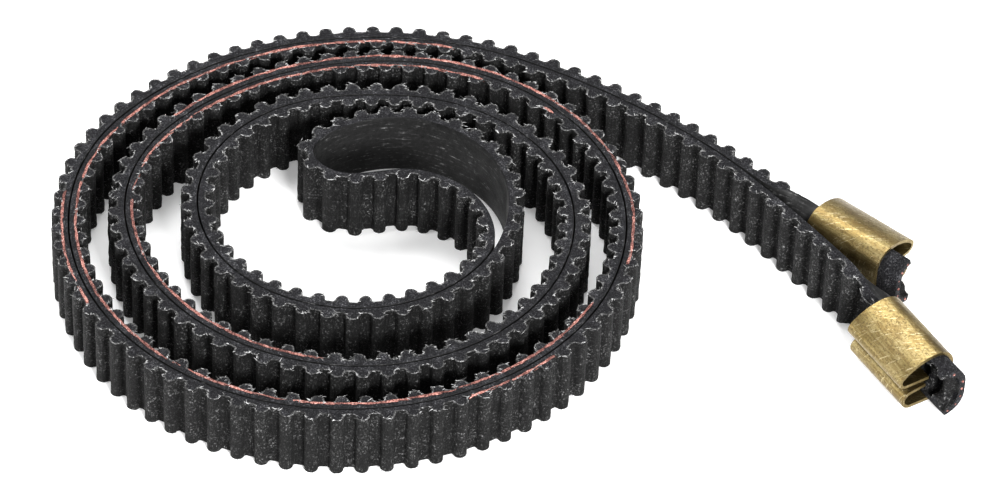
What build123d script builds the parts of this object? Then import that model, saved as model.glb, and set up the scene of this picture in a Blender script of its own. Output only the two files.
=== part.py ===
from build123d import *
from math import atan2, cos, pi, radians, sin
import os

# Open-ended rubber timing belt, folded in half back to back, coiled on edge, with a crimped brass
# ferrule on each end. Millimetres, +Z up, the cut edge of the belt stands on Z = 0.

# Belt section
PITCH = 2.0                 # tooth spacing along the pitch line
WIDTH = 6.0                 # belt width, which is its height here
BACKING = 0.63              # back face to the land between two teeth
TOOTH_HEIGHT = 0.75
TIP_RADIUS = 0.555
PITCH_DEPTH = 0.254         # land down to the pitch line
FACING = 0.10               # nylon fabric on the toothed side
BOND = 0.02                 # adhesive film under the fabric
CORD_COUNT = 7
CORD_RADIUS = 0.13
CORD_HALF = 0.115           # half the side of a square bar with the same section area
CORD_BOND = 0.02            # adhesive film around each cord
CORD_DEPTH = 0.06           # cord centre below the pitch line

# Route of the line where the two backs meet, from the point where the tails part to the middle
# of the coil. Each arc is (radius, sweep in degrees) and turns left.
SPLIT_POINT = (29.7, 10.6)
SPLIT_HEADING = 139
COIL_ARCS = [
    (60, 18), (28.5, 45), (27, 33), (18.5, 26), (22.5, 98), (24.5, 37), (22.5, 53), (19.5, 91),
    (24, 53), (15, 46), (19.5, 78), (18, 92), (15, 88), (26.5, 15), (13, 187), (12.5, 46),
]
BACK_GAP = 0.10             # between the two backs

# Pitch line of the open fold in the middle of the coil
FOLD_POINTS = [
    (13.2, 0.8), (11.9, 8.0), (5.5, 12.7), (-0.9, 11.7), (-4.0, 7.6), (-1.8, 5.2), (4.0, 5.8),
    (9.4, 3.6), (11.4, -0.2),
]

# The loose ends beyond the split, walked outward: (radius, sweep), right turns negative
REAR_TAIL_ARCS = [(60, -3), (200, 1), (60, 4)]
FRONT_TAIL_ARCS = [(45, -7), (150, -4), (80, -4)]
CURL_RUN = 4.0              # the belt starts to curl about this far ahead of its ferrule

# Where the doubled belt flexes, measured along the line of contact from the split
TAILS_FLEX = 13.0
TOP_FLEX = 49.0
LEFT_FLEX = 81.0
END_FLEX = 2.5              # hinge of each loose end, beyond the split
FLEX_RADIUS = 1.55          # round end of a moving length, about its hinge
END_FLEX_RADIUS = 0.74      # the two loose ends turn side by side, so it clears the other back
FLEX_GAP = 0.12
COIL_LENGTHS = 4            # rubber lengths along each strand inside the coil

# Ferrules: centre of the mouth in plan and heading, then the folded sheet
REAR_FERRULE = (39.4, 5.2, -39)
FRONT_FERRULE = (43.4, -6.7, -57)
FERRULE_LENGTH = 7.5
FERRULE_MID_Z = 2.85
SHEET = 0.30
SHEET_START = (-0.30, 0.05)
SHEET_FOLDS = [             # upper wing, crown, back, floor, lower wing; radius 0 is a flat
    (0, 2.25), (0.55, 135), (4.6, 45), (1.6, 90), (0, 1.34), (1.8, 90), (0, 2.0), (0.75, 170),
    (0, 1.5),
]
STUB = 3.0                  # belt standing out of the far end of the ferrule

# Belt curled across its width inside a ferrule: limb, corner, back, corner, limb
CURL_MIDDLE = (-2.025, -0.09)
CURL_STRETCHES = [(0.42, 0), (1.75, 90), (1.34, 0), (2.07, 90), (0.42, 0)]
CURL_STEPS = 24
CURL_PINCH = 0.03

# The middle of the whole part's foot comes to the origin.
ORIGIN = (-13.12, -0.14, 0)
RIB_LENGTH = 1.1            # tooth pressed flat inside the ferrule
RIB_HEIGHT = 0.55

BACK = -(BACKING - PITCH_DEPTH)
EDGE = PITCH_DEPTH + TOOTH_HEIGHT


STRAIGHT = 1e7              # radius and length that stand for a straight run


def walk(start, heading, arcs):
    """Chain of tangent arcs and flats: entries are (x, y, heading, signed radius, length)."""
    x, y = start
    route = []
    for radius, sweep in arcs:
        length = radians(abs(sweep)) * radius if radius else sweep
        signed = STRAIGHT if radius == 0 else radius if sweep > 0 else -radius
        route.append((x, y, heading, signed, length))
        x, y, heading = spot(route[-1:], length)
    route.append((x, y, heading, STRAIGHT, STRAIGHT))
    return route


def spot(route, s):
    """Place and heading at distance s along a route."""
    for x, y, heading, radius, length in route:
        if s <= length:
            break
        s -= length
    turn = s / radius
    px = x + radius * (sin(heading + turn) - sin(heading))
    py = y - radius * (cos(heading + turn) - cos(heading))
    return px, py, heading + turn


def at(place, side, s, n):
    """Point n away from the pitch line towards the teeth, which lie on the given side."""
    x, y, heading = place(s)
    return x - side * n * sin(heading), y + side * n * cos(heading)


def bend(a, middle, b):
    """Arc through three points, or a straight line where they are in line."""
    off = (b[0] - a[0]) * (middle[1] - a[1]) - (b[1] - a[1]) * (middle[0] - a[0])
    return Line(a, b) if abs(off) < 1e-5 else ThreePointArc(a, middle, b)


def toothed_edge(place, side, s0, s1, inset):
    """Toothed side between two land centres, set in from the true surface."""
    centre = PITCH_DEPTH + TOOTH_HEIGHT - TIP_RADIUS
    root = TOOTH_HEIGHT - TIP_RADIUS + inset
    tip = TIP_RADIUS - inset
    land = PITCH_DEPTH - inset
    reach = TOOTH_HEIGHT
    edges = []
    last = at(place, side, s0, land)
    for i in range(round((s1 - s0) / PITCH)):
        c = s0 + PITCH * (i + 0.5)
        foot_in = at(place, side, c - reach, land)
        flank_in = at(place, side, c - tip, centre)
        flank_out = at(place, side, c + tip, centre)
        foot_out = at(place, side, c + reach, land)
        fillet = reach - root * (1 - sin(pi / 4)), centre - root * cos(pi / 4)
        edges += [
            Line(last, foot_in),
            ThreePointArc(foot_in, at(place, side, c - fillet[0], fillet[1]), flank_in),
            ThreePointArc(flank_in, at(place, side, c, centre + tip), flank_out),
            ThreePointArc(flank_out, at(place, side, c + fillet[0], fillet[1]), foot_out),
        ]
        last = foot_out
    edges.append(Line(last, at(place, side, s1, land)))
    return edges


def rail(place, side, marks, n):
    """Smooth line at a constant depth in the belt, one arc between each two marks."""
    return [bend(*[at(place, side, s, n) for s in (a, (a + b) / 2, b)])
            for a, b in zip(marks, marks[1:])]


def stops(route, s0, s1):
    """Distances from s0 to s1 with the joins between the arcs of the route in between."""
    marks = [s0]
    s = 0
    for *_, length in route:
        s += length
        if s0 < s < s1:
            marks.append(s)
    return marks + [s1]


def sheet_face():
    """Folded ferrule sheet in its own section plane."""
    route = walk(SHEET_START, 0, SHEET_FOLDS)
    length = sum(radians(turn) * radius if radius else turn for radius, turn in SHEET_FOLDS)
    marks = stops(route, 0, length)

    def place(s):
        return spot(route, s)

    edges = rail(place, 1, marks, -SHEET / 2) + rail(place, 1, marks, SHEET / 2)
    edges += [Line(at(place, 1, s, -SHEET / 2), at(place, 1, s, SHEET / 2)) for s in (0, length)]
    return make_face(edges)


def ferrule(where, side):
    x, y, heading = where[0], where[1], radians(where[2])
    teeth_way = (-side * sin(heading), side * cos(heading), 0)
    axis = (cos(heading), sin(heading), 0)
    across = Vector(*teeth_way).cross(Vector(0, 0, 1))
    section = Plane((x, y, FERRULE_MID_Z), x_dir=teeth_way, z_dir=across) * sheet_face()
    return extrude(section, FERRULE_LENGTH, dir=axis)


def curl_point(amount, across):
    """Middle of the backing from its top edge (0) to its foot (1), flat to fully curled."""
    folds = []
    for length, turn in CURL_STRETCHES:
        sweep = turn * amount
        folds.append((length / radians(sweep), sweep) if sweep > 1e-6 else (0, length))
    total = sum(length for length, _ in CURL_STRETCHES)
    route = walk((0, 0), radians(270 - 90 * amount), folds)
    x0, y0, _ = spot(route, total / 2)
    x, y, heading = spot(route, total * across)
    return x - x0, y - y0, heading


def curl_plane(end, t):
    """Section plane of a curled belt end, t beyond the flat belt, and how far it has curled."""
    place, side, s_flat, where, run = end
    ease = min(t / run, 1)
    amount = ease * ease * (3 - 2 * ease)
    x0, y0, heading0 = place(s_flat + t)
    heading1 = radians(where[2])
    heading0 = heading1 + (heading0 - heading1 + pi) % (2 * pi) - pi
    x1 = where[0] + (t - run) * cos(heading1)
    y1 = where[1] + (t - run) * sin(heading1)
    heading = heading0 + (heading1 - heading0) * amount
    shift = (BACK + BACKING / 2) * (1 - amount) + CURL_MIDDLE[0] * amount
    teeth_way = Vector(-side * sin(heading), side * cos(heading), 0)
    x = x0 + (x1 - x0) * amount + shift * teeth_way.X
    y = y0 + (y1 - y0) * amount + shift * teeth_way.Y
    z = WIDTH / 2 + (FERRULE_MID_Z + CURL_MIDDLE[1] - WIDTH / 2) * amount ** 2
    across = teeth_way.cross(Vector(0, 0, 1))
    return Plane((x, y, z), x_dir=teeth_way, z_dir=across), amount


def curl_section(end, t, low, high):
    """Section of a curled belt end between two depths, pinched a little where it is half curled."""
    plane, amount = curl_plane(end, t)
    pinch = 1 - 4 * CURL_PINCH * amount * (1 - amount)
    line = [curl_point(amount, i / CURL_STEPS) for i in range(CURL_STEPS + 1)]
    rails = [[(u - d * sin(h), (v + d * cos(h)) * pinch) for u, v, h in line] for d in (low, high)]
    return plane * make_face(Polyline(*rails[0], *reversed(rails[1]), close=True))


def curl_length(end, marks, low, high):
    faces = [curl_section(end, t, low, high) for t in marks]
    return Part() + [loft([a, b], ruled=True) for a, b in zip(faces, faces[1:])]


def curl_marks(end):
    run = end[4]
    return [0, run / 4, run / 2, run * 3 / 4, run, run + FERRULE_LENGTH + STUB]


def curled_end(end):
    """Curled belt end with its teeth, round the ends of its cords."""
    marks = curl_marks(end)
    body = curl_length(end, marks, -BACKING / 2, BACKING / 2)
    t = PITCH / 2
    while t + RIB_LENGTH / 2 < marks[-1]:
        rib = [t - RIB_LENGTH / 2, t + RIB_LENGTH / 2]
        body += curl_length(end, rib, BACKING / 4, BACKING / 2 + RIB_HEIGHT)
        t += PITCH
    return body - curled_cords(end, CORD_RADIUS + CORD_BOND)


def curled_cords(end, radius=CORD_RADIUS):
    """Cords of a curled belt end, or the channels they lie in."""
    cords = []
    for i in range(CORD_COUNT):
        points = []
        for t in curl_marks(end):
            plane, amount = curl_plane(end, t)
            u, v, _ = curl_point(amount, (i + 0.5) / CORD_COUNT)
            pinch = 1 - 4 * CURL_PINCH * amount * (1 - amount)
            points.append(plane.from_local_coords((u, v * pinch)))
        path = Polyline(*points)
        start = Plane(points[0], z_dir=path % 0) * Circle(radius)
        cords.append(sweep(start, path=path, transition=Transition.RIGHT))
    return cords


class Strand:
    """One of the two layers of the doubled belt, measured outward from the end of the fold."""

    def __init__(self, name, side, tail_arcs, ferrule_at):
        self.name = name
        self.side = side
        self.ferrule_at = ferrule_at
        self.offset = side * (BACK_GAP / 2 - BACK)
        x, y, heading = CONTACT[-1][:3]
        start = x + self.offset * sin(heading), y - self.offset * cos(heading)
        arcs = [(radius + self.offset, -sweep) for radius, sweep in reversed(COIL_ARCS)]
        self.route = walk(start, heading + pi, arcs + tail_arcs)
        self.split = sum(entry[4] for entry in self.route[:len(arcs)])
        self.tail = sum(entry[4] for entry in self.route[len(arcs):-1])

    def place(self, s):
        """Place and heading, on the fold where s is negative."""
        if s >= 0:
            return spot(self.route, s)
        t = -s if self.side > 0 else FOLD.length + s
        point = FOLD.position_at(t, PositionMode.LENGTH)
        tangent = FOLD.tangent_at(t, PositionMode.LENGTH)
        return point.X, point.Y, atan2(self.side * -tangent.Y, self.side * -tangent.X)

    def land(self, s):
        """The land centre nearest to s."""
        first = PITCH / 2 - FOLD.length / 2
        return first + PITCH * round((s - first) / PITCH)

    def station(self, along_contact):
        """Distance on this strand of a station of the contact line."""
        s = 0
        for radius, sweep in COIL_ARCS:
            length = radians(sweep) * radius
            beyond = length - min(max(along_contact, 0), length)
            s += beyond * (radius + self.offset) / radius
            along_contact -= length
        return s

    def line(self, s0, s1, n):
        """Smooth line at a constant depth in the belt."""
        edges = []
        if s0 < 0:
            fold = [s0 + PITCH * i for i in range(int(-s0 / PITCH) + 1)] + [0]
            ways = [(cos(self.place(s)[2]), sin(self.place(s)[2])) for s in (s0, 0)]
            edges.append(Spline(*[at(self.place, self.side, s, n) for s in fold], tangents=ways))
        joins = stops(self.route, max(s0, 0), s1)
        return edges + rail(self.place, self.side, joins, n)

    def rubber(self, s0, s1):
        inset = FACING + BOND
        land = PITCH_DEPTH - inset
        edges = toothed_edge(self.place, self.side, s0, s1, inset)
        edges += self.line(s0, s1, BACK)
        edges += [Line(at(self.place, self.side, s, land), at(self.place, self.side, s, BACK))
                  for s in (s0, s1)]
        body = extrude(make_face(edges), WIDTH, dir=(0, 0, 1))
        return body - self.cords(s0, s1, CORD_HALF + CORD_BOND)

    def facing(self, s0, s1):
        edges = toothed_edge(self.place, self.side, s0, s1, 0)
        edges += toothed_edge(self.place, self.side, s0, s1, FACING)
        edges += [Line(at(self.place, self.side, s, PITCH_DEPTH),
                       at(self.place, self.side, s, PITCH_DEPTH - FACING)) for s in (s0, s1)]
        return extrude(make_face(edges), WIDTH, dir=(0, 0, 1))

    def cords(self, s0, s1, half=CORD_HALF):
        """The row of tension cords as square bars, or the channels they lie in."""
        depths = [-CORD_DEPTH - half, -CORD_DEPTH + half]
        edges = [edge for n in depths for edge in self.line(s0, s1, n)]
        edges += [Line(*[at(self.place, self.side, s, n) for n in depths]) for s in (s0, s1)]
        bar = extrude(make_face(edges), 2 * half, dir=(0, 0, 1))
        foot = [WIDTH * (i + 0.5) / CORD_COUNT - half for i in range(CORD_COUNT)]
        return [Pos(0, 0, z) * bar for z in foot]


CONTACT = walk(SPLIT_POINT, radians(SPLIT_HEADING), COIL_ARCS)


def fold_curve():
    x, y, heading = CONTACT[-1][:3]
    reach = BACK_GAP / 2 - BACK
    start = x + reach * sin(heading), y - reach * cos(heading)
    end = x - reach * sin(heading), y + reach * cos(heading)
    along = (cos(heading), sin(heading))
    back = (-cos(heading), -sin(heading))
    return Spline(start, *FOLD_POINTS, end, tangents=(along, back), tangent_scalars=(1, 1))


FOLD = fold_curve()
REAR = Strand("rear", 1, REAR_TAIL_ARCS, REAR_FERRULE)
FRONT = Strand("front", -1, FRONT_TAIL_ARCS, FRONT_FERRULE)


def hinge(pivot, along, radius):
    """Belt stretch beyond (1) or before (-1) a hinge, and the round about the hinge itself."""
    x, y, heading = pivot
    plane = Plane((x, y, WIDTH / 2), x_dir=(cos(heading), sin(heading), 0), z_dir=(0, 0, 1))
    return plane * Pos(4 * along, 0, 0) * Box(8, 8, 10), plane * Cylinder(radius, 10)


def trim(shape, inner, outer):
    """Cut a length of belt to its hinges: round end at the inner one, hollow at the outer."""
    if inner:
        beyond, round_end = hinge(inner[0], -1, inner[1])
        shape = shape - (beyond - round_end)
    if outer:
        beyond, hollow = hinge(outer[0], 1, outer[1] + FLEX_GAP)
        shape = shape - beyond - hollow
    return shape


def lengths(strand):
    """Each length of one strand: (name, start, finish, hinge at its start, hinge at its end)."""
    hinges = []
    stations = []
    for station in (LEFT_FLEX, TOP_FLEX, TAILS_FLEX):
        x, y, heading = spot(CONTACT, station)
        hinges.append(((x, y, heading + pi), FLEX_RADIUS))
        stations.append(strand.station(station))
    stations.append(strand.split + END_FLEX)
    middle = at(strand.place, strand.side, stations[-1], (BACK + EDGE) / 2)
    hinges.append(((*middle, strand.place(stations[-1])[2]), END_FLEX_RADIUS))
    start = strand.land((strand.side * PITCH - FOLD.length) / 2)
    coil = strand.land(1)
    finish = strand.land(stations[0] + 3)
    rows = [("fold", start, coil, None, None)]
    for i in range(COIL_LENGTHS):
        a = strand.land(coil + (finish - coil) * i / COIL_LENGTHS)
        b = strand.land(coil + (finish - coil) * (i + 1) / COIL_LENGTHS)
        rows.append((f"coil_{i + 1}", a, b, None, hinges[0] if b == finish else None))
    flat_end = strand.land(strand.split + strand.tail - CURL_RUN)
    ends = [strand.land(s + 3) for s in stations[1:]] + [flat_end]
    for i, name in enumerate(("left", "top", "tail", "end")):
        outer = hinges[i + 1] if i < 3 else None
        rows.append((name, strand.land(stations[i] - 3), ends[i], hinges[i], outer))
    return rows


def build_strand(strand):
    nodes = {}
    rows = lengths(strand)
    for name, s0, s1, inner, outer in rows:
        nodes[f"{strand.name}_rubber_{name}"] = trim(strand.rubber(s0, s1), inner, outer)
        nodes[f"{strand.name}_facing_{name}"] = trim(strand.facing(s0, s1), inner, outer)
    runs = [("coil", rows[0][1], rows[COIL_LENGTHS][2], None, rows[COIL_LENGTHS][4])]
    for name, s0, s1, inner, outer in runs + rows[COIL_LENGTHS + 1:]:
        cords = [trim(cord, inner, outer) for cord in strand.cords(s0, s1)]
        nodes[f"{strand.name}_cords_{name}"] = Compound(children=cords)
    flat_end = rows[-1][2]
    run = strand.split + strand.tail - flat_end
    end = (strand.place, strand.side, flat_end, strand.ferrule_at, run)
    nodes[f"{strand.name}_curled_end"] = curled_end(end)
    nodes[f"{strand.name}_curled_cords"] = Compound(children=curled_cords(end))
    nodes[f"{strand.name}_ferrule"] = ferrule(strand.ferrule_at, strand.side)
    return nodes


os.makedirs("parts", exist_ok=True)
for belt_strand in (REAR, FRONT):
    for node, shape in build_strand(belt_strand).items():
        export_step(Pos(*ORIGIN) * shape, f"parts/{node}.step")
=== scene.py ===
"""Rubber timing belt, folded double and coiled on edge, a crimped brass ferrule at each end."""
import random
from functools import lru_cache
from math import cos, pi, radians, sin

import bpy
import numpy as np
from mathutils import Matrix, Vector, noise


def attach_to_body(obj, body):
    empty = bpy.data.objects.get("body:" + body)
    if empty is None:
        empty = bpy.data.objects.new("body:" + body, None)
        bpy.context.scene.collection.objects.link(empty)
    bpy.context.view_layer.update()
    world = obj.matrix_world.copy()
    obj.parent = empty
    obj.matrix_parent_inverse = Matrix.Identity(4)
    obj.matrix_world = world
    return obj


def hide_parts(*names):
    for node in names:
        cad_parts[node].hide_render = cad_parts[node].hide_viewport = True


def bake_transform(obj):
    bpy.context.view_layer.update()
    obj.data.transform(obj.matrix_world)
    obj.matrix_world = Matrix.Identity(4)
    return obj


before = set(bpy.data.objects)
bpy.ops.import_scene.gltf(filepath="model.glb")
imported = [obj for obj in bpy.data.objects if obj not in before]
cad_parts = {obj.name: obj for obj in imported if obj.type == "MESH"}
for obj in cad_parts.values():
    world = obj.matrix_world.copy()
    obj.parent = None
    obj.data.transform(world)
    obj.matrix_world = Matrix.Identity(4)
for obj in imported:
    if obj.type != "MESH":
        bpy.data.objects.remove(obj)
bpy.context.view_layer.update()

MM = 0.001
ORIGIN = (-13.12, -0.14)

# Belt section, millimetres
PITCH = 2.0
WIDTH = 6.0
BACKING = 0.63
TOOTH_HEIGHT = 0.75
TIP_RADIUS = 0.555
PITCH_DEPTH = 0.254
FACING = 0.13
BACK = -(BACKING - PITCH_DEPTH)
CORD_COUNT = 7

# Route of the two strands and the open fold
SPLIT_POINT = (29.7, 10.6)
SPLIT_HEADING = 139
COIL_ARCS = [
    (60, 18), (28.5, 45), (27, 33), (18.5, 26), (22.5, 98), (24.5, 37), (22.5, 53), (19.5, 91),
    (24, 53), (15, 46), (19.5, 78), (18, 92), (15, 88), (26.5, 15), (13, 187), (12.5, 46),
]
BACK_GAP = 0.10
FOLD_POINTS = [
    (13.2, 0.8), (11.9, 8.0), (5.5, 12.7), (-0.9, 11.7), (-4.0, 7.6), (-1.8, 5.2), (4.0, 5.8),
    (9.4, 3.6), (11.4, -0.2),
]
TAIL_ARCS = {"rear": [(60, -3), (200, 1), (60, 4)], "front": [(45, -7), (150, -4), (80, -4)]}
CURL_RUN = 4.0
FLEX = {"left": 81.0, "top": 49.0, "tails": 13.0}
END_FLEX = 2.5
FERRULES = {"rear": (39.4, 5.2, -39), "front": (43.4, -6.7, -57)}
FERRULE_LENGTH = 7.5
FERRULE_MID_Z = 2.85
STUB = 3.0
CURL_MIDDLE = (-2.025, -0.09)
CURL_STRETCHES = [(0.42, 0), (1.75, 90), (1.34, 0), (2.07, 90), (0.42, 0)]
CURL_PINCH = 0.03
STUB_RELAX = 0.22           # how far the stub opens again beyond the ferrule
STUB_HELD = 0.4             # stub that the ferrule's mouth still holds curled
PRESSED = 0.7               # share of a tooth's height left inside the ferrule
PRESS_IN, PRESS_OUT = 1.5, 1.0      # run over which it flattens, and stands up again
END_TRIM = 0.6              # the strand's end face is this far short of its tip

# Stretches of each strand where a tension cord lies bare on the cut edge, from the fold outward
BARE_CORDS = {
    "rear": [(155.0, 212.5), (225.0, 233.5), (269.0, 283.0)],
    "front": [(109.0, 175.0), (181.0, 182.2), (207.0, 311.0)],
}

SHORTEST_BARE = 0.8         # shorter bare stretches are left out

# Where a belt is cut into lengths, and the line set out from each of its four hinges
AHEAD_OF_HINGE = 8.0        # the first hinged length starts this far before its hinge
BEND_REACH = (13.0, 13.0, 7.0, 5.5)     # how far beyond each hinge its stored bend line reaches

# Mesh
ROWS = 14                   # belt surface divisions across the width
UNDER_ROWS = (0.8, 0.5, 0.2)        # the same where rubber and fabric meet
SHARP_ANGLE = 40            # degrees between faces from which their edge stays sharp
FIBRES_PER_TOOTH = ((0.0, 16), (1.0, 5))    # on the top edge and on the foot
CORD_END_RADII = (0.13, 0.12, 0.10, 0.06)       # a cut cord, towards its end
STRAIGHT = 1e7              # radius and length that stand for a straight run


def walk(start, heading, arcs):
    """Chain of tangent arcs and flats: entries are (x, y, heading, signed radius, length)."""
    x, y = start
    route = []
    for radius, sweep in arcs:
        length = radians(abs(sweep)) * radius if radius else sweep
        signed = STRAIGHT if radius == 0 else radius if sweep > 0 else -radius
        route.append((x, y, heading, signed, length))
        x, y, heading = spot(route[-1:], length)
    route.append((x, y, heading, STRAIGHT, STRAIGHT))
    return route


def spot(route, s):
    """Place and heading at distance s along a route."""
    for x, y, heading, radius, length in route:
        if s <= length:
            break
        s -= length
    turn = s / radius
    return (x + radius * (sin(heading + turn) - sin(heading)),
            y - radius * (cos(heading + turn) - cos(heading)), heading + turn)


CONTACT = walk(SPLIT_POINT, radians(SPLIT_HEADING), COIL_ARCS)


def clamped_spline(points, first, last):
    """Smooth curve through points with given end directions: distances, places and headings."""
    p = np.array(points, float)
    h = np.linalg.norm(np.diff(p, axis=0), axis=1)
    n = len(p)
    a = np.zeros((n, n))
    b = np.zeros((n, 2))
    a[0, 0] = a[-1, -1] = 1
    b[0], b[-1] = first, last
    for i in range(1, n - 1):
        a[i, i - 1:i + 2] = h[i], 2 * (h[i - 1] + h[i]), h[i - 1]
        b[i] = 3 * (h[i] * (p[i] - p[i - 1]) / h[i - 1] + h[i - 1] * (p[i + 1] - p[i]) / h[i])
    m = np.linalg.solve(a, b)
    out = []
    for i in range(n - 1):
        t = np.linspace(0, 1, 120, endpoint=(i == n - 2))[:, None]
        out.append((2 * t**3 - 3 * t**2 + 1) * p[i] + (t**3 - 2 * t**2 + t) * h[i] * m[i]
                   + (3 * t**2 - 2 * t**3) * p[i + 1] + (t**3 - t**2) * h[i] * m[i + 1])
    q = np.vstack(out)
    step = np.gradient(q, axis=0)
    heading = np.unwrap(np.arctan2(step[:, 1], step[:, 0]))
    run = np.concatenate([[0], np.cumsum(np.linalg.norm(np.diff(q, axis=0), axis=1))])
    return run, q, heading


def fold_curve():
    """Pitch line of the open fold, from one strand round to the other."""
    x, y, heading = CONTACT[-1][:3]
    reach = BACK_GAP / 2 - BACK
    start = x + reach * sin(heading), y - reach * cos(heading)
    end = x - reach * sin(heading), y + reach * cos(heading)
    way = np.array((cos(heading), sin(heading)))
    return clamped_spline([start, *FOLD_POINTS, end], way, -way)


FOLD = fold_curve()
FOLD_LENGTH = float(FOLD[0][-1])


def curl_point(amount, across):
    """Middle of the backing from its top edge (0) to its foot (1), flat to fully curled."""
    folds = []
    for length, turn in CURL_STRETCHES:
        sweep = turn * amount
        folds.append((length / radians(sweep), sweep) if sweep > 1e-6 else (0, length))
    total = sum(length for length, _ in CURL_STRETCHES)
    route = walk((0, 0), radians(270 - 90 * amount), folds)
    x0, y0, _ = spot(route, total / 2)
    x, y, heading = spot(route, total * across)
    return x - x0, y - y0, heading


class Strand:
    """One layer of the doubled belt, measured outward from the end of the fold."""

    def __init__(self, name, side):
        self.name = name
        self.side = side
        self.offset = side * (BACK_GAP / 2 - BACK)
        x, y, heading = CONTACT[-1][:3]
        start = x + self.offset * sin(heading), y - self.offset * cos(heading)
        arcs = [(radius + self.offset, -sweep) for radius, sweep in reversed(COIL_ARCS)]
        self.route = walk(start, heading + pi, arcs + TAIL_ARCS[name])
        self.split = sum(entry[4] for entry in self.route[:len(arcs)])
        self.tail = sum(entry[4] for entry in self.route[len(arcs):-1])
        self.flat_end = self.land(self.split + self.tail - CURL_RUN)
        self.run = self.split + self.tail - self.flat_end
        self.tip = self.split + self.tail + FERRULE_LENGTH + STUB
        self.flat_place = lru_cache(None)(self._flat_place)
        self.section = lru_cache(None)(self._section)
        self.curled = lru_cache(None)(curl_point)

    def land(self, s):
        """The middle of the land between two teeth nearest to s."""
        first = PITCH / 2 - FOLD_LENGTH / 2
        return first + PITCH * round((s - first) / PITCH)

    def station(self, along):
        """Distance on this strand of a station of the line where the backs meet."""
        s = 0
        for radius, sweep in COIL_ARCS:
            length = radians(sweep) * radius
            beyond = length - min(max(along, 0), length)
            s += beyond * (radius + self.offset) / radius
            along -= length
        return s

    def _flat_place(self, s):
        """Place and heading on the pitch line, in the fold where s is negative."""
        if s >= 0:
            return spot(self.route, s)
        t = -s if self.side > 0 else FOLD_LENGTH + s
        run, q, heading = FOLD
        h = float(np.interp(t, run, heading)) + (pi if self.side > 0 else 0)
        return float(np.interp(t, run, q[:, 0])), float(np.interp(t, run, q[:, 1])), h

    def _section(self, s):
        """Middle of the backing, way of the teeth and amount of curl at a distance s."""
        t = s - self.flat_end
        if t <= 0:
            x, y, heading = self.flat_place(s)
            shift = BACK + BACKING / 2
            way = -self.side * sin(heading), self.side * cos(heading)
            return x + shift * way[0], y + shift * way[1], WIDTH / 2, way, 0.0
        ease = min(t / self.run, 1)
        amount = ease * ease * (3 - 2 * ease)
        where = FERRULES[self.name]
        x0, y0, heading0 = self.flat_place(s)
        heading1 = radians(where[2])
        heading0 = heading1 + (heading0 - heading1 + pi) % (2 * pi) - pi
        x1 = where[0] + (t - self.run) * cos(heading1)
        y1 = where[1] + (t - self.run) * sin(heading1)
        heading = heading0 + (heading1 - heading0) * amount
        shift = (BACK + BACKING / 2) * (1 - amount) + CURL_MIDDLE[0] * amount
        way = -self.side * sin(heading), self.side * cos(heading)
        z = WIDTH / 2 + (FERRULE_MID_Z + CURL_MIDDLE[1] - WIDTH / 2) * amount ** 2
        beyond = max(t - self.run - FERRULE_LENGTH - STUB_HELD, 0) / (STUB - STUB_HELD)
        return (x0 + (x1 - x0) * amount + shift * way[0], y0 + (y1 - y0) * amount + shift * way[1],
                z, way, round(amount - STUB_RELAX * beyond, 4))

    def point(self, s, across, n):
        """Place in metres of a spot in the belt: s along it, a share across it from the top,
        and n out from the pitch line."""
        x, y, z, way, amount = self.section(round(s, 4))
        d = n - BACK - BACKING / 2
        if amount <= 0:
            u, v = d, WIDTH * (0.5 - across)
        else:
            cu, cv, heading = self.curled(amount, across)
            pinch = 1 - 4 * CURL_PINCH * amount * (1 - amount)
            u, v = cu - d * sin(heading), (cv + d * cos(heading)) * pinch
        return ((x + u * way[0] + ORIGIN[0]) * MM, (y + u * way[1] + ORIGIN[1]) * MM, (z + v) * MM)

    def pressed(self, s):
        """Share of its height that a tooth keeps, less inside the ferrule."""
        t = s - self.flat_end - self.run
        into = min(max((t + PRESS_IN) / PRESS_IN, 0), 1)
        out = min(max((FERRULE_LENGTH + PRESS_OUT - t) / PRESS_OUT, 0), 1)
        return 1 - (1 - PRESSED) * into * out


STRANDS = {"rear": Strand("rear", 1), "front": Strand("front", -1)}


def tooth_profile(inset):
    """One tooth from land to land: (along, out), set in from the surface."""
    centre = PITCH_DEPTH + TOOTH_HEIGHT - TIP_RADIUS
    root = TOOTH_HEIGHT - TIP_RADIUS + inset
    tip = TIP_RADIUS - inset
    half = [(-1.0, PITCH_DEPTH - inset), (-TOOTH_HEIGHT, PITCH_DEPTH - inset)]
    half += [(root * sin(a) - TOOTH_HEIGHT, centre - root * cos(a))
             for a in (radians(30 * i) for i in (1, 2, 3))]
    half += [(-tip * cos(a), centre + tip * sin(a)) for a in (radians(22.5 * i) for i in (1, 2, 3))]
    return half + [(0.0, centre + tip)] + [(-along, out) for along, out in reversed(half[1:])]


OUTER = tooth_profile(0)
INNER = tooth_profile(FACING)
BACK_SIDE = [(-1 + 2 * i / len(OUTER), BACK) for i in range(len(OUTER))]


def ragged(key, scale, size):
    """Small smooth unevenness."""
    return size * noise.noise(Vector(key) * scale)


def columns(strand, s0, s1):
    """Matching points along the toothed surface, under its fabric and along the back."""
    rows = []
    for i in range(round((s1 - s0) / PITCH)):
        c = s0 + PITCH * (i + 0.5)
        tall = 1 + ragged((c, strand.side, 3), 0.9, 0.05)
        for (ao, no), (ai, ni), (ab, nb) in zip(OUTER, INNER, BACK_SIDE):
            keep = strand.pressed(c + ao) * tall
            no = PITCH_DEPTH + (no - PITCH_DEPTH) * keep
            ni = PITCH_DEPTH - FACING + (ni - PITCH_DEPTH + FACING) * keep
            rows.append(((c + ao, no), (c + ai, ni), (c + ab, nb)))
    rows.append(tuple((s1, n) for _, n in rows[0]))
    return rows


def new_object(name, mesh):
    obj = bpy.data.objects.new(name, mesh)
    bpy.context.collection.objects.link(obj)
    return obj


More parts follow.
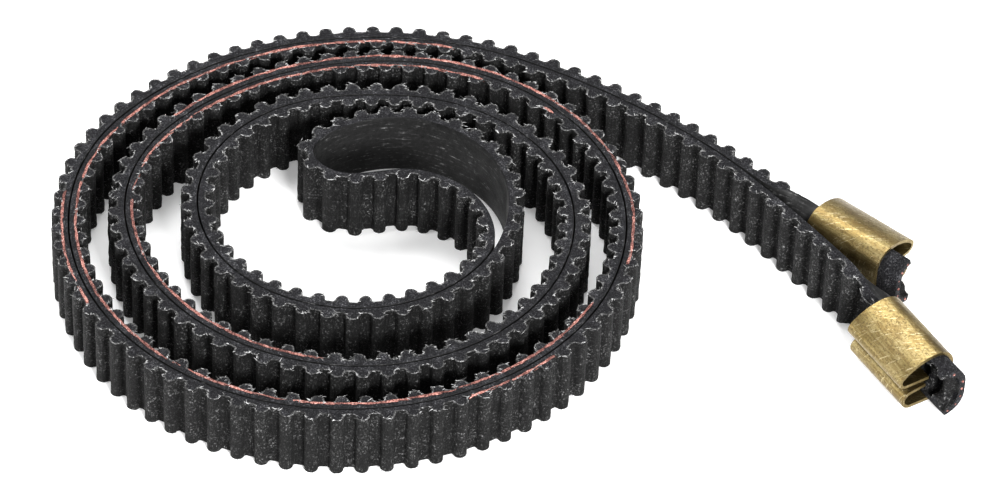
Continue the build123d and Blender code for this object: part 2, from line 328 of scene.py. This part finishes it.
def ring_mesh(name, strand, rings, materials):
    """Closed skin through rings of (s, across, n, lift, u, v, material). Beyond the ferrule
    everything takes the first material, as on a cut end."""
    verts, faces, mats, uvs = [], [], [], []
    for ring in rings:
        for s, across, n, lift, u, v, _ in ring:
            x, y, z = strand.point(s, across, n)
            verts.append((x, y, z + lift * MM))
            uvs.append((u, v))
    size = len(rings[0])
    stub = strand.split + strand.tail + FERRULE_LENGTH - 0.5
    for i in range(len(rings) - 1):
        for k in range(size):
            a, b = i * size + k, i * size + (k + 1) % size
            faces.append((a, b, b + size, a + size))
            mats.append(0 if rings[i][k][0] > stub else rings[0][k][6])
    faces.append(tuple(range(size))[::-1])
    faces.append(tuple((len(rings) - 1) * size + k for k in range(size)))
    mats += [0, 0]
    if strand.side > 0:
        faces = [face[::-1] for face in faces]
    mesh = bpy.data.meshes.new(name)
    mesh.from_pydata(verts, [], faces)
    layer = mesh.uv_layers.new(name="Surface")
    where = np.empty(len(mesh.loops), int)
    mesh.loops.foreach_get("vertex_index", where)
    layer.data.foreach_set("uv", np.array(uvs, float)[where].ravel())
    for material in materials:
        mesh.materials.append(material)
    mesh.polygons.foreach_set("material_index", np.array(mats, int))
    mesh.polygons.foreach_set("use_smooth", np.ones(len(faces), bool))
    mesh.set_sharp_from_angle(angle=radians(SHARP_ANGLE))
    mesh.update()
    return new_object(name, mesh)


def rubber_ring(strand, column):
    """Section of the rubber: top cut edge, back, bottom cut edge, and under the fabric."""
    _, (si, ni), (sb, nb) = column
    spots = [(si, ni), (si * 0.6 + sb * 0.4, ni * 0.6 - 0.02), (si * 0.2 + sb * 0.8, -0.12),
             (sb, nb + 0.13)]

    def cut_edge(across, way):
        """Rough cut face, a little low at its back corner; way is 1 at the top, -1 at the foot."""
        strip = []
        for j, (s, n) in enumerate(spots):
            rough = ragged((s, n * 3, across * 9 + strand.side), 1.7, 0.05) - 0.02
            rough += ragged((s, n * 3, across * 9 + strand.side + 40), 6.0, 0.035)
            corner = 0.02 if j == 3 else 0
            v = 1.2 - n if way > 0 else 8.4 + n
            strip.append((s, across, n, way * (rough - corner), s, v, 0))
        return strip

    back = [(0.006, 0.04, 1.5), (0.025, 0, 1.6)]
    back += [(j / ROWS, 0, 1.6 + WIDTH * j / ROWS) for j in range(1, ROWS)]
    back += [(0.975, 0, 1.6 + WIDTH), (0.994, 0.04, 1.7 + WIDTH)]
    ring = cut_edge(0.0, 1)
    ring += [(sb, across, nb + inset, 0, sb, v, 1) for across, inset, v in back]
    ring += cut_edge(1.0, -1)[::-1]
    return ring + [(si, across, ni, 0, si, 10, 0) for across in UNDER_ROWS]


def facing_ring(strand, column):
    """Section of the fabric: frayed top edge, puckered face, frayed foot, and its inside."""
    (so, no), (si, ni), _ = column
    frayed = ragged((so * 2, no * 4, strand.side), 4.0, 0.06)
    ring = [(si, 0.0, ni - 0.02, frayed * 0.3 - 0.01, so, ni, 1),
            (so, 0.0, no - 0.02, frayed - 0.02, so, no, 0)]
    for j in range(ROWS + 1):
        across = min(max(j / ROWS, 0.008), 0.992)
        puff = ragged((so, across * WIDTH, strand.side * 5), 1.6, 0.05)
        puff += ragged((so, across * WIDTH, strand.side * 5 + 30), 6.0, 0.035)
        ring.append((so, across, no + puff, 0, so, 2 + WIDTH * across, 0))
    ring += [(so, 1.0, no - 0.02, -frayed + 0.02, so, 9, 1),
             (si, 1.0, ni - 0.02, -frayed * 0.3 + 0.01, so, 9.2, 1)]
    return ring + [(si, across, ni, 0, so, 10, 1) for across in UNDER_ROWS]


def tube(points, radius, sides):
    """Vertices and faces of a thin closed tube whose radius is given at each point."""
    verts, faces = [], []
    side = Vector((0.31, 0.52, 0.79))
    for i, p in enumerate(points):
        along = (points[min(i + 1, len(points) - 1)] - points[max(i - 1, 0)]).normalized()
        a = along.cross(side).normalized()
        b = along.cross(a)
        for k in range(sides):
            turn = 2 * pi * k / sides
            verts.append(p + (a * cos(turn) + b * sin(turn)) * radius[i])
    for i in range(len(points) - 1):
        for k in range(sides):
            q = i * sides + k
            r = i * sides + (k + 1) % sides
            faces.append((q, r, r + sides, q + sides))
    faces.append(tuple(range(sides))[::-1])
    faces.append(tuple((len(points) - 1) * sides + k for k in range(sides)))
    return verts, faces


def tubes_object(name, tubes, material):
    """One object of many thin tubes."""
    verts, faces = [], []
    for v, f in tubes:
        base = len(verts)
        verts += v
        faces += [tuple(base + k for k in face) for face in f]
    mesh = bpy.data.meshes.new(name)
    mesh.from_pydata(verts, [], faces)
    mesh.materials.append(material)
    mesh.polygons.foreach_set("use_smooth", np.ones(len(faces), bool))
    mesh.update()
    return new_object(name, mesh)


def fibres(strand, s0, s1, rng):
    """Frayed ends of the fabric along both cut edges of the toothed side."""
    tubes = []
    for i in range(round((s1 - s0) / PITCH)):
        c = s0 + PITCH * (i + 0.5)
        keep = strand.pressed(c)
        for edge, count in FIBRES_PER_TOOTH:
            for _ in range(count):
                k = rng.randrange(len(OUTER) - 1)
                mix = rng.random()
                along = OUTER[k][0] * (1 - mix) + OUTER[k + 1][0] * mix
                out = PITCH_DEPTH + (OUTER[k][1] * (1 - mix) + OUTER[k + 1][1] * mix
                                     - PITCH_DEPTH) * keep
                size = rng.uniform(0.12, 0.34) + 0.3 * rng.random() ** 4
                aim = rng.uniform(-1, 1)
                lift = rng.uniform(0.0, 0.05) * (1 if edge == 0 else -1)
                inward = rng.uniform(-0.55, 0.8) * size
                points = []
                for t in (0, 0.4, 0.75, 1):
                    p = strand.point(c + along + aim * size * t, edge, out - 0.04 - inward * t)
                    hop = lift * sin(pi * t * 0.8) + (0.015 if edge == 0 else -0.004)
                    points.append(Vector(p) + Vector((0, 0, hop * MM)))
                thick = rng.uniform(0.010, 0.022) * MM
                tubes.append(tube(points, [thick, thick, thick * 0.8, thick * 0.4], 4))
    return tubes


def bare_cord(strand, s0, s1):
    """Yarns of a tension cord lying bare on the top cut edge from s0 to s1."""
    tubes = []
    count = max(int((s1 - s0) / 0.3), 4)
    for yarn in range(3):
        points, radius = [], []
        for i in range(count + 1):
            s = s0 + (s1 - s0) * i / count
            twist = s * 1.9 + yarn * 2 * pi / 3
            n = 0.15 + ragged((s, 1, strand.side), 0.35, 0.07) + 0.07 * cos(twist)
            x, y, z = strand.point(s, 0, n)
            sink = 0.03 + 0.04 * sin(twist) + 0.12 * (i in (0, count))
            sink += max(ragged((s, 7, strand.side + yarn), 0.5, 0.16), -0.03)
            points.append(Vector((x, y, z - sink * MM)))
            radius.append((0.062 + ragged((s, 4, 4 + yarn), 0.8, 0.03)) * MM)
        tubes.append(tube(points, radius, 6))
    return tubes


class Look:
    """A procedural material under construction."""

    def __init__(self, name, roughness, metallic=0.0, specular=0.5):
        self.material = bpy.data.materials.new(name)
        self.material.use_nodes = True
        self.nodes = self.material.node_tree.nodes
        self.links = self.material.node_tree.links
        self.shader = self.nodes["Principled BSDF"]
        self.shader.inputs["Roughness"].default_value = roughness
        self.shader.inputs["Metallic"].default_value = metallic
        self.shader.inputs["Specular IOR Level"].default_value = specular
        self.space = self.nodes.new("ShaderNodeTexCoord").outputs["Object"]

    def surface(self):
        """Millimetres along the belt and round its section."""
        node = self.nodes.new("ShaderNodeUVMap")
        node.uv_map = "Surface"
        return node.outputs["UV"]

    def stretched(self, vector, scale, turn=(0, 0, 0)):
        node = self.nodes.new("ShaderNodeMapping")
        node.inputs["Scale"].default_value = scale
        node.inputs["Rotation"].default_value = turn
        self.links.new(vector, node.inputs["Vector"])
        return node.outputs["Vector"]

    def noise(self, vector, scale, detail, rough=0.6):
        node = self.nodes.new("ShaderNodeTexNoise")
        node.inputs["Scale"].default_value = scale
        node.inputs["Detail"].default_value = detail
        node.inputs["Roughness"].default_value = rough
        self.links.new(vector, node.inputs["Vector"])
        return node.outputs["Fac"]

    def wave(self, vector, scale, direction, distortion):
        node = self.nodes.new("ShaderNodeTexWave")
        node.bands_direction = direction
        node.inputs["Scale"].default_value = scale
        node.inputs["Distortion"].default_value = distortion
        node.inputs["Detail Scale"].default_value = 2.0
        self.links.new(vector, node.inputs["Vector"])
        return node.outputs["Fac"]

    def ramp(self, value, stops):
        """Colour by value; each stop is (value, grey or colour)."""
        node = self.nodes.new("ShaderNodeValToRGB")
        ramp = node.color_ramp
        while len(ramp.elements) < len(stops):
            ramp.elements.new(0.5)
        for element, (at, colour) in zip(ramp.elements, stops):
            element.position = at
            element.color = (*colour, 1) if isinstance(colour, tuple) else (colour,) * 3 + (1,)
        self.links.new(value, node.inputs["Fac"])
        return node.outputs["Color"]

    def mix(self, factor, a, b):
        node = self.nodes.new("ShaderNodeMix")
        node.data_type = "RGBA"
        self.links.new(factor, node.inputs["Factor"])
        for value, socket in ((a, node.inputs["A"]), (b, node.inputs["B"])):
            if isinstance(value, tuple):
                socket.default_value = (*value, 1)
            else:
                self.links.new(value, socket)
        return node.outputs["Result"]

    def math(self, kind, a, b):
        node = self.nodes.new("ShaderNodeMath")
        node.operation = kind
        for value, socket in ((a, node.inputs[0]), (b, node.inputs[1])):
            if isinstance(value, float):
                socket.default_value = value
            else:
                self.links.new(value, socket)
        return node.outputs["Value"]

    def colour(self, value):
        self.links.new(value, self.shader.inputs["Base Color"])

    def roughness(self, value):
        self.links.new(value, self.shader.inputs["Roughness"])

    def bump(self, value, distance, strength=1.0):
        node = self.nodes.new("ShaderNodeBump")
        node.inputs["Distance"].default_value = distance * MM
        node.inputs["Strength"].default_value = strength
        self.links.new(value, node.inputs["Height"])
        self.links.new(node.outputs["Normal"], self.shader.inputs["Normal"])


def cut_rubber():
    look = Look("cut_rubber", roughness=0.9, specular=0.12)
    grain = look.noise(look.space, 7000, 5, 0.75)
    patches = look.noise(look.space, 900, 3)
    base = look.ramp(grain, [(0.40, (0.003, 0.003, 0.004)), (0.52, (0.009, 0.009, 0.010)),
                             (0.60, (0.021, 0.021, 0.023)), (0.68, (0.085, 0.085, 0.09))])
    dusty = look.ramp(grain, [(0.38, (0.005, 0.005, 0.006)), (0.5, (0.017, 0.017, 0.019)),
                              (0.58, (0.04, 0.04, 0.044)), (0.66, (0.20, 0.20, 0.21))])
    look.colour(look.mix(look.ramp(patches, [(0.48, 0.0), (0.68, 1.0)]), base, dusty))
    look.bump(grain, 0.08, 1.0)
    return look.material


def back_rubber():
    look = Look("smooth_back", roughness=0.5, specular=0.22)
    fine = look.noise(look.space, 2600, 5, 0.65)
    soft = look.noise(look.space, 320, 3)
    scuffs = look.noise(look.stretched(look.surface(), (0.35, 3.0, 1)), 1.6, 5, 0.7)
    dark = look.ramp(fine, [(0.35, 0.002), (0.6, 0.006), (0.8, 0.016)])
    worn = look.ramp(fine, [(0.38, 0.008), (0.5, 0.03), (0.62, 0.14)])
    look.colour(look.mix(look.ramp(scuffs, [(0.55, 0.0), (0.68, 1.0)]), dark, worn))
    look.roughness(look.ramp(soft, [(0.35, 0.42), (0.65, 0.68)]))
    look.bump(look.math("ADD", fine, look.math("MULTIPLY", scuffs, 0.6)), 0.05, 0.7)
    return look.material


def nylon():
    look = Look("nylon_fabric", roughness=0.75, specular=0.16)
    surface = look.surface()
    warp = look.wave(surface, 1.55, "X", 1.2)
    weft = look.wave(surface, 1.9, "Y", 1.2)
    weave = look.math("MULTIPLY", warp, weft)
    fuzz = look.noise(look.space, 5600, 5, 0.75)
    patches = look.noise(look.space, 620, 4)
    dark = look.ramp(fuzz, [(0.42, 0.001), (0.53, 0.003), (0.60, 0.010), (0.68, 0.07)])
    light = look.ramp(fuzz, [(0.40, 0.0015), (0.50, 0.005), (0.57, 0.020), (0.65, 0.20)])
    plain = look.mix(look.ramp(patches, [(0.42, 0.0), (0.66, 1.0)]), dark, light)
    threads = look.ramp(weave, [(0.55, 0.0), (0.9, 0.3)])
    look.colour(look.mix(threads, plain, (0.008, 0.0081, 0.0092)))
    look.bump(look.math("ADD", fuzz, look.math("MULTIPLY", weave, 0.35)), 0.12, 1.0)
    return look.material


def frayed_edge():
    look = Look("frayed_edge", roughness=0.9, specular=0.12)
    fuzz = look.noise(look.space, 7600, 5, 0.7)
    patches = look.noise(look.space, 1500, 3)
    low = look.ramp(fuzz, [(0.40, 0.006), (0.52, 0.03), (0.64, 0.12)])
    high = look.ramp(fuzz, [(0.44, 0.02), (0.54, 0.10), (0.66, 0.42)])
    look.colour(look.mix(look.ramp(patches, [(0.50, 0.0), (0.64, 1.0)]), low, high))
    look.bump(fuzz, 0.08, 0.9)
    return look.material


def fibre():
    look = Look("loose_fibre", roughness=0.7, specular=0.2)
    tone = look.noise(look.space, 1800, 2)
    look.colour(look.ramp(tone, [(0.38, 0.04), (0.5, 0.2), (0.62, 0.6)]))
    return look.material


def bare_yarn():
    look = Look("bare_yarn", roughness=0.8, specular=0.15)
    strands = look.noise(look.space, 7000, 5, 0.75)
    patches = look.noise(look.space, 1100, 3)
    pale = look.ramp(strands, [(0.40, (0.09, 0.03, 0.025)), (0.50, (0.30, 0.115, 0.095)),
                               (0.62, (0.58, 0.34, 0.29))])
    dull = look.ramp(strands, [(0.40, (0.02, 0.01, 0.009)), (0.52, (0.12, 0.045, 0.038)),
                               (0.66, (0.30, 0.15, 0.13))])
    look.colour(look.mix(look.ramp(patches, [(0.42, 0.0), (0.6, 1.0)]), pale, dull))
    look.bump(strands, 0.04, 0.8)
    return look.material


def brass():
    look = Look("worn_brass", roughness=0.5, metallic=1.0)
    smear = look.noise(look.space, 330, 4)
    fine = look.noise(look.space, 5200, 5, 0.75)
    drawn = look.noise(look.stretched(look.space, (420, 420, 9000), (0, 0, 0.8)), 1.0, 5, 0.75)
    scratch = look.noise(look.stretched(look.space, (900, 9000, 900), (0.4, 0.2, 0.5)), 1.0, 3, 0.6)
    gold = look.ramp(smear, [(0.34, (0.14, 0.105, 0.040)), (0.5, (0.215, 0.168, 0.072)),
                             (0.66, (0.29, 0.235, 0.115))])
    streaked = look.mix(look.ramp(drawn, [(0.42, 0.7), (0.56, 0.0)]), gold, (0.13, 0.085, 0.03))
    nicked = look.mix(look.ramp(scratch, [(0.61, 0.0), (0.66, 0.7)]), streaked, (0.50, 0.43, 0.26))
    look.colour(look.mix(look.ramp(fine, [(0.52, 0.0), (0.60, 0.85)]), nicked, (0.10, 0.07, 0.03)))
    look.roughness(look.ramp(look.math("MULTIPLY", fine, smear), [(0.16, 0.38), (0.34, 0.58)]))
    rough = look.math("ADD", look.math("ADD", drawn, look.math("MULTIPLY", fine, 0.6)), scratch)
    look.bump(rough, 0.022, 0.6)
    return look.material


def floor_material():
    look = Look("pale_floor", roughness=0.85, specular=0.2)
    tone = look.noise(look.space, 40, 2)
    look.colour(look.ramp(tone, [(0.3, 0.90), (0.7, 0.93)]))
    look.shader.inputs["Emission Color"].default_value = (1, 1, 1, 1)
    look.shader.inputs["Emission Strength"].default_value = 0.22
    return look.material


CUT, SMOOTH, NYLON, FRAYED = cut_rubber(), back_rubber(), nylon(), frayed_edge()
FIBRE, YARN, BRASS = fibre(), bare_yarn(), brass()


def flex_spots(strand):
    """Distance along the strand, place and outward way of each hinge."""
    spots = []
    for name in ("left", "top", "tails"):
        x, y, heading = spot(CONTACT, FLEX[name])
        spots.append((strand.station(FLEX[name]), x, y, heading + pi))
    s = strand.split + END_FLEX
    x, y, heading = strand.flat_place(s)
    spots.append((s, x, y, heading))
    return spots


def in_metres(x, y):
    """A point of the plan, halfway up the belt, in metres."""
    return ((x + ORIGIN[0]) * MM, (y + ORIGIN[1]) * MM, WIDTH / 2 * MM)


def lengths(strand):
    """Each length of belt: name, start, finish, the two bodies and the bend between them."""
    spots = flex_spots(strand)
    start = strand.land((strand.side * PITCH - FOLD_LENGTH) / 2)
    cuts = [start, strand.land(spots[0][0] - AHEAD_OF_HINGE)]
    cuts += [strand.land((a[0] + b[0]) / 2) for a, b in zip(spots, spots[1:])]
    cuts.append(strand.land(strand.tip - END_TRIM))
    bodies = ["coil", "turn_left", "turn_top", "tails", f"{strand.name}_end"]
    rows = [("coil", cuts[0], cuts[1], "coil", None, None)]
    for i, name in enumerate(("left", "top", "tail", "end")):
        _, x, y, heading = spots[i]
        reach = BEND_REACH[i]
        bend = in_metres(x, y), in_metres(x + reach * cos(heading), y + reach * sin(heading))
        rows.append((name, cuts[i + 1], cuts[i + 2], bodies[i], bodies[i + 1], bend))
    return rows


def attach(obj, row):
    """Parent a piece to its body's empty; a piece whose row has a bend is only baked in place, not
    parented or bent.
    """
    _, _, _, body, far_body, bend = row
    if bend:
        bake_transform(obj)
    else:
        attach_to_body(obj, body)


def cad_nodes(strand, kind, name):
    """The CAD nodes that a length of belt stands for."""
    if name == "coil":
        return [f"{strand.name}_{kind}_{part}" for part in
                ("fold", "coil_1", "coil_2", "coil_3", "coil_4")]
    return [f"{strand.name}_{kind}_{name}"]


def build_length(strand, row, rng):
    """Rubber, fabric, frayed fibres and bare cords of one length of belt."""
    name, s0, s1 = row[:3]
    cols = columns(strand, s0, s1)
    label = f"{strand.name}_{name}"
    rubber = ring_mesh(f"{label}_rubber_belt", strand,
                       [rubber_ring(strand, c) for c in cols], [CUT, SMOOTH])
    attach(rubber, row)
    facing = ring_mesh(f"{label}_fabric", strand,
                       [facing_ring(strand, c) for c in cols], [NYLON, FRAYED])
    attach(facing, row)
    fray = tubes_object(f"{label}_frayed_fibres", fibres(strand, s0, s1, rng), FIBRE)
    attach(fray, row)
    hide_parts(*cad_nodes(strand, "facing", name))
    stands_for = cad_nodes(strand, "rubber", name)
    cords = [(max(a, s0), min(b, s1)) for a, b in BARE_CORDS[strand.name] if a < s1 and b > s0]
    cords = [(a, b) for a, b in cords if b - a > SHORTEST_BARE]
    if name == "end":
        stands_for.append(f"{strand.name}_curled_end")
        ends = cord_ends(strand, s1)
        attach(ends, row)
        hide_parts(f"{strand.name}_curled_cords", f"{strand.name}_cords_end")
    elif cords:
        yarns = [yarn for a, b in cords for yarn in bare_cord(strand, a, b)]
        bare = tubes_object(f"{label}_bare_cord", yarns, YARN)
        attach(bare, row)
        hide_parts(f"{strand.name}_cords_{name}")
    else:
        stands_for.append(f"{strand.name}_cords_{name}")
    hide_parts(*stands_for)


def cord_ends(strand, s1):
    """Cut cord ends standing a little out of the belt's end face."""
    tubes = []
    for i in range(CORD_COUNT):
        across = (i + 0.5) / CORD_COUNT
        proud = 0.05 + ragged((i, 3, strand.side), 1.3, 0.12)
        points = [Vector(strand.point(s1 - 0.3 + t * (0.3 + proud), across, -0.06))
                  for t in (0, 0.7, 0.9, 1)]
        tubes.append(tube(points, [radius * MM for radius in CORD_END_RADII], 8))
    return tubes_object(f"{strand.name}_cord_ends", tubes, YARN)


random_source = random.Random(7)
for belt_strand in STRANDS.values():
    for length_row in lengths(belt_strand):
        build_length(belt_strand, length_row, random_source)

for node in ("rear_ferrule", "front_ferrule"):
    node_object = bpy.data.objects[node]
    node_object.data.materials.clear()
    node_object.data.materials.append(BRASS)

# Floor, a hair below the belt's foot
FLOOR_REACH = 3
FLOOR_DROP = 0.00002
corners = [(x * FLOOR_REACH, y * FLOOR_REACH, 0) for x, y in ((-1, -1), (1, -1), (1, 1), (-1, 1))]
floor_mesh = bpy.data.meshes.new("floor")
floor_mesh.from_pydata(corners, [], [(0, 1, 2, 3)])
floor_mesh.materials.append(floor_material())
floor = new_object("floor", floor_mesh)
floor.location.z = -FLOOR_DROP

# Camera, at the photograph's viewing angle
LENS = 183.05
ELEVATION = radians(43.3)
ROLL = radians(2.6)
DISTANCE = 0.429
AIM = Vector(((12.5 + ORIGIN[0]) * MM, (3.1 + ORIGIN[1]) * MM, 0))
forward = Vector((0, cos(ELEVATION), -sin(ELEVATION)))
level_up = Vector((0, sin(ELEVATION), cos(ELEVATION)))
right = Vector((1, 0, 0)) * cos(ROLL) + level_up * sin(ROLL)
up = level_up * cos(ROLL) - Vector((1, 0, 0)) * sin(ROLL)
camera_data = bpy.data.cameras.new("camera")
camera_data.lens = LENS
camera_data.sensor_width = 36
camera_data.clip_start = 0.01
camera = new_object("camera", camera_data)
turned = Matrix((right, up, -forward)).transposed().to_4x4()
camera.matrix_world = Matrix.Translation(AIM - forward * DISTANCE) @ turned
bpy.context.scene.camera = camera


LAMP_AIM = Vector((0, 0, WIDTH / 2 * MM))


def lamp(name, place, size, power):
    """Soft rectangular lamp that faces the middle of the coil."""
    data = bpy.data.lights.new(name, "AREA")
    data.shape = "RECTANGLE"
    data.size, data.size_y = size
    data.energy = power
    obj = new_object(name, data)
    obj.location = place
    obj.rotation_euler = (LAMP_AIM - Vector(place)).to_track_quat("-Z", "Y").to_euler()


lamp("key", (0.18, -0.40, 0.20), (0.14, 0.12), 5.2)
lamp("side", (-0.36, -0.10, 0.16), (0.12, 0.12), 1.2)
lamp("top", (-0.05, 0.22, 0.34), (0.30, 0.20), 2.4)

world = bpy.data.worlds.new("studio")
world.use_nodes = True
world.node_tree.nodes["Background"].inputs["Color"].default_value = (1, 1, 1, 1)
world.node_tree.nodes["Background"].inputs["Strength"].default_value = 0.45
bpy.context.scene.world = world
bpy.context.scene.view_settings.view_transform = "Standard"
